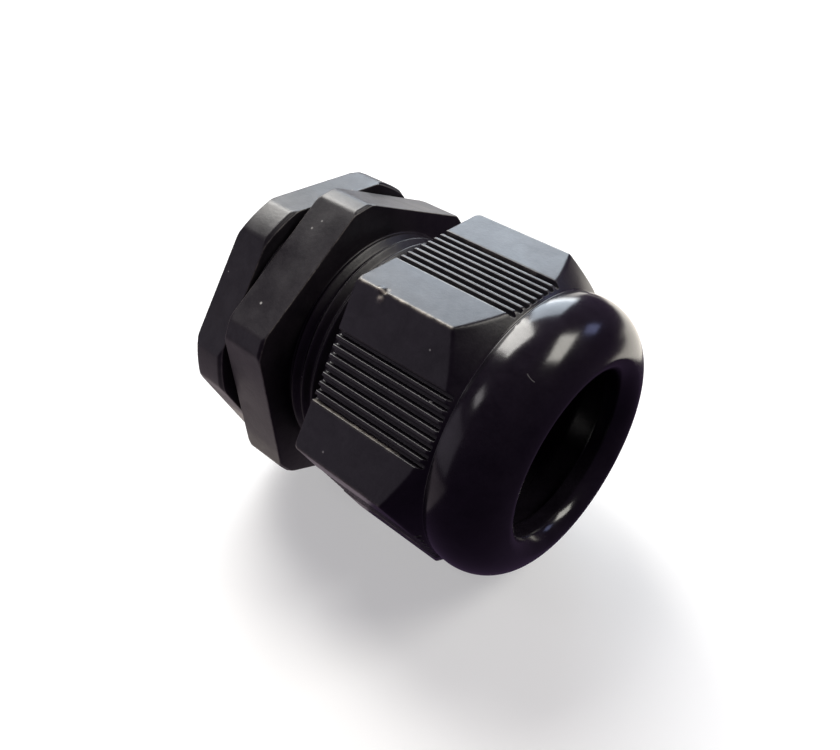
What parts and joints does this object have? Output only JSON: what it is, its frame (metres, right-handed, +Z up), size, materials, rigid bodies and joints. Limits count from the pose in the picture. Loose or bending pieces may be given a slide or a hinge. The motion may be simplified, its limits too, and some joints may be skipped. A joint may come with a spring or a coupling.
{
  "type": "cable gland",
  "caption": "Black nylon cable gland with a domed clamping nut, hex body, thin locknut, claw and rubber seal, shown slightly loosened.",
  "frame": {"origin": "on the gland's axis at the middle of its length, 13.7 mm from the flange face that seats on the enclosure wall towards the dome", "axes": "+X along the gland's axis towards the dome, +Z up with the gland lying on its side"},
  "size_m": [0.0434, 0.038, 0.0374],
  "materials": {
    "black_nylon": "satin moulded",
    "black_nylon_nut": "semi-gloss moulded",
    "black_nylon_locknut": "satin moulded",
    "black_nylon_claw": "satin moulded",
    "black_rubber": "matt",
    "grey_rubber_gasket": "matt"
  },
  "bodies": {
    "body": {"gland_body": "black_nylon"},
    "claw": {"claw_ring": "black_nylon_claw", "sealing_grommet": "black_rubber"},
    "dome_nut": {"dome_nut": "black_nylon_nut"},
    "gasket": {"flange_gasket": "grey_rubber_gasket"},
    "locknut": {"locknut": "black_nylon_locknut"},
    "finger_01": {"claw_finger_01": "black_nylon_claw"},
    "finger_02": {"claw_finger_02": "black_nylon_claw"},
    "finger_03": {"claw_finger_03": "black_nylon_claw"},
    "finger_04": {"claw_finger_04": "black_nylon_claw"},
    "finger_05": {"claw_finger_05": "black_nylon_claw"},
    "finger_06": {"claw_finger_06": "black_nylon_claw"},
    "finger_07": {"claw_finger_07": "black_nylon_claw"},
    "finger_08": {"claw_finger_08": "black_nylon_claw"},
    "finger_09": {"claw_finger_09": "black_nylon_claw"},
    "finger_10": {"claw_finger_10": "black_nylon_claw"},
    "finger_11": {"claw_finger_11": "black_nylon_claw"},
    "finger_12": {"claw_finger_12": "black_nylon_claw"},
    "finger_13": {"claw_finger_13": "black_nylon_claw"},
    "finger_14": {"claw_finger_14": "black_nylon_claw"}
  },
  "joints": [
    {"name": "dome_nut_turn", "type": "hinge", "parent": "body", "child": "claw", "pos_m": [0, 0, 0], "axis": [1, 0, 0], "range_deg": [-1247, 816], "deforming": ["sealing_grommet"]},
    {"name": "dome_nut_travel", "type": "slide", "parent": "claw", "child": "dome_nut", "axis": [1, 0, 0], "range_m": [-0.0055, 0.0036]},
    {"name": "locknut_turn", "type": "hinge", "parent": "body", "child": "gasket", "pos_m": [0, 0, 0], "axis": [1, 0, 0], "range_deg": [-1587, 0]},
    {"name": "locknut_travel", "type": "slide", "parent": "gasket", "child": "locknut", "axis": [1, 0, 0], "range_m": [-0.007, 0]},
    {"name": "claw_finger_01_bend", "type": "hinge", "parent": "claw", "child": "finger_01", "pos_m": [0.0052, 0, -0.0117], "axis": [0, 1, 0], "range_deg": [-11, 7.2], "stiffness_Nm_per_rad": 0.0001},
    {"name": "claw_finger_02_bend", "type": "hinge", "parent": "claw", "child": "finger_02", "pos_m": [0.0052, 0.00508, -0.01054], "axis": [0, 0.901, 0.4339], "range_deg": [-11, 7.2], "stiffness_Nm_per_rad": 0.0001},
    {"name": "claw_finger_03_bend", "type": "hinge", "parent": "claw", "child": "finger_03", "pos_m": [0.0052, 0.00915, -0.00729], "axis": [0, 0.6235, 0.7818], "range_deg": [-11, 7.2], "stiffness_Nm_per_rad": 0.0001},
    {"name": "claw_finger_04_bend", "type": "hinge", "parent": "claw", "child": "finger_04", "pos_m": [0.0052, 0.01141, -0.0026], "axis": [0, 0.2225, 0.9749], "range_deg": [-11, 7.2], "stiffness_Nm_per_rad": 0.0001},
    {"name": "claw_finger_05_bend", "type": "hinge", "parent": "claw", "child": "finger_05", "pos_m": [0.0052, 0.01141, 0.0026], "axis": [0, -0.2225, 0.9749], "range_deg": [-11, 7.2], "stiffness_Nm_per_rad": 0.0001},
    {"name": "claw_finger_06_bend", "type": "hinge", "parent": "claw", "child": "finger_06", "pos_m": [0.0052, 0.00915, 0.00729], "axis": [0, -0.6235, 0.7818], "range_deg": [-11, 7.2], "stiffness_Nm_per_rad": 0.0001},
    {"name": "claw_finger_07_bend", "type": "hinge", "parent": "claw", "child": "finger_07", "pos_m": [0.0052, 0.00508, 0.01054], "axis": [0, -0.901, 0.4339], "range_deg": [-11, 7.2], "stiffness_Nm_per_rad": 0.0001},
    {"name": "claw_finger_08_bend", "type": "hinge", "parent": "claw", "child": "finger_08", "pos_m": [0.0052, 0, 0.0117], "axis": [0, -1, 0], "range_deg": [-11, 7.2], "stiffness_Nm_per_rad": 0.0001},
    {"name": "claw_finger_09_bend", "type": "hinge", "parent": "claw", "child": "finger_09", "pos_m": [0.0052, -0.00508, 0.01054], "axis": [0, -0.901, -0.4339], "range_deg": [-11, 7.2], "stiffness_Nm_per_rad": 0.0001},
    {"name": "claw_finger_10_bend", "type": "hinge", "parent": "claw", "child": "finger_10", "pos_m": [0.0052, -0.00915, 0.00729], "axis": [0, -0.6235, -0.7818], "range_deg": [-11, 7.2], "stiffness_Nm_per_rad": 0.0001},
    {"name": "claw_finger_11_bend", "type": "hinge", "parent": "claw", "child": "finger_11", "pos_m": [0.0052, -0.01141, 0.0026], "axis": [0, -0.2225, -0.9749], "range_deg": [-11, 7.2], "stiffness_Nm_per_rad": 0.0001},
    {"name": "claw_finger_12_bend", "type": "hinge", "parent": "claw", "child": "finger_12", "pos_m": [0.0052, -0.01141, -0.0026], "axis": [0, 0.2225, -0.9749], "range_deg": [-11, 7.2], "stiffness_Nm_per_rad": 0.0001},
    {"name": "claw_finger_13_bend", "type": "hinge", "parent": "claw", "child": "finger_13", "pos_m": [0.0052, -0.00915, -0.00729], "axis": [0, 0.6235, -0.7818], "range_deg": [-11, 7.2], "stiffness_Nm_per_rad": 0.0001},
    {"name": "claw_finger_14_bend", "type": "hinge", "parent": "claw", "child": "finger_14", "pos_m": [0.0052, -0.00508, -0.01054], "axis": [0, 0.901, -0.4339], "range_deg": [-11, 7.2], "stiffness_Nm_per_rad": 0.0001}
  ],
  "couplings": [
    {"joint": "dome_nut_travel", "follows": "dome_nut_turn", "m_per_rad": 0.00025266},
    {"joint": "locknut_travel", "follows": "locknut_turn", "m_per_rad": 0.00025266},
    {"joint": "claw_finger_01_bend", "follows": "dome_nut_turn", "ratio": 0.00882},
    {"joint": "claw_finger_02_bend", "follows": "dome_nut_turn", "ratio": 0.00882},
    {"joint": "claw_finger_03_bend", "follows": "dome_nut_turn", "ratio": 0.00882},
    {"joint": "claw_finger_04_bend", "follows": "dome_nut_turn", "ratio": 0.00882},
    {"joint": "claw_finger_05_bend", "follows": "dome_nut_turn", "ratio": 0.00882},
    {"joint": "claw_finger_06_bend", "follows": "dome_nut_turn", "ratio": 0.00882},
    {"joint": "claw_finger_07_bend", "follows": "dome_nut_turn", "ratio": 0.00882},
    {"joint": "claw_finger_08_bend", "follows": "dome_nut_turn", "ratio": 0.00882},
    {"joint": "claw_finger_09_bend", "follows": "dome_nut_turn", "ratio": 0.00882},
    {"joint": "claw_finger_10_bend", "follows": "dome_nut_turn", "ratio": 0.00882},
    {"joint": "claw_finger_11_bend", "follows": "dome_nut_turn", "ratio": 0.00882},
    {"joint": "claw_finger_12_bend", "follows": "dome_nut_turn", "ratio": 0.00882},
    {"joint": "claw_finger_13_bend", "follows": "dome_nut_turn", "ratio": 0.00882},
    {"joint": "claw_finger_14_bend", "follows": "dome_nut_turn", "ratio": 0.00882}
  ]
}
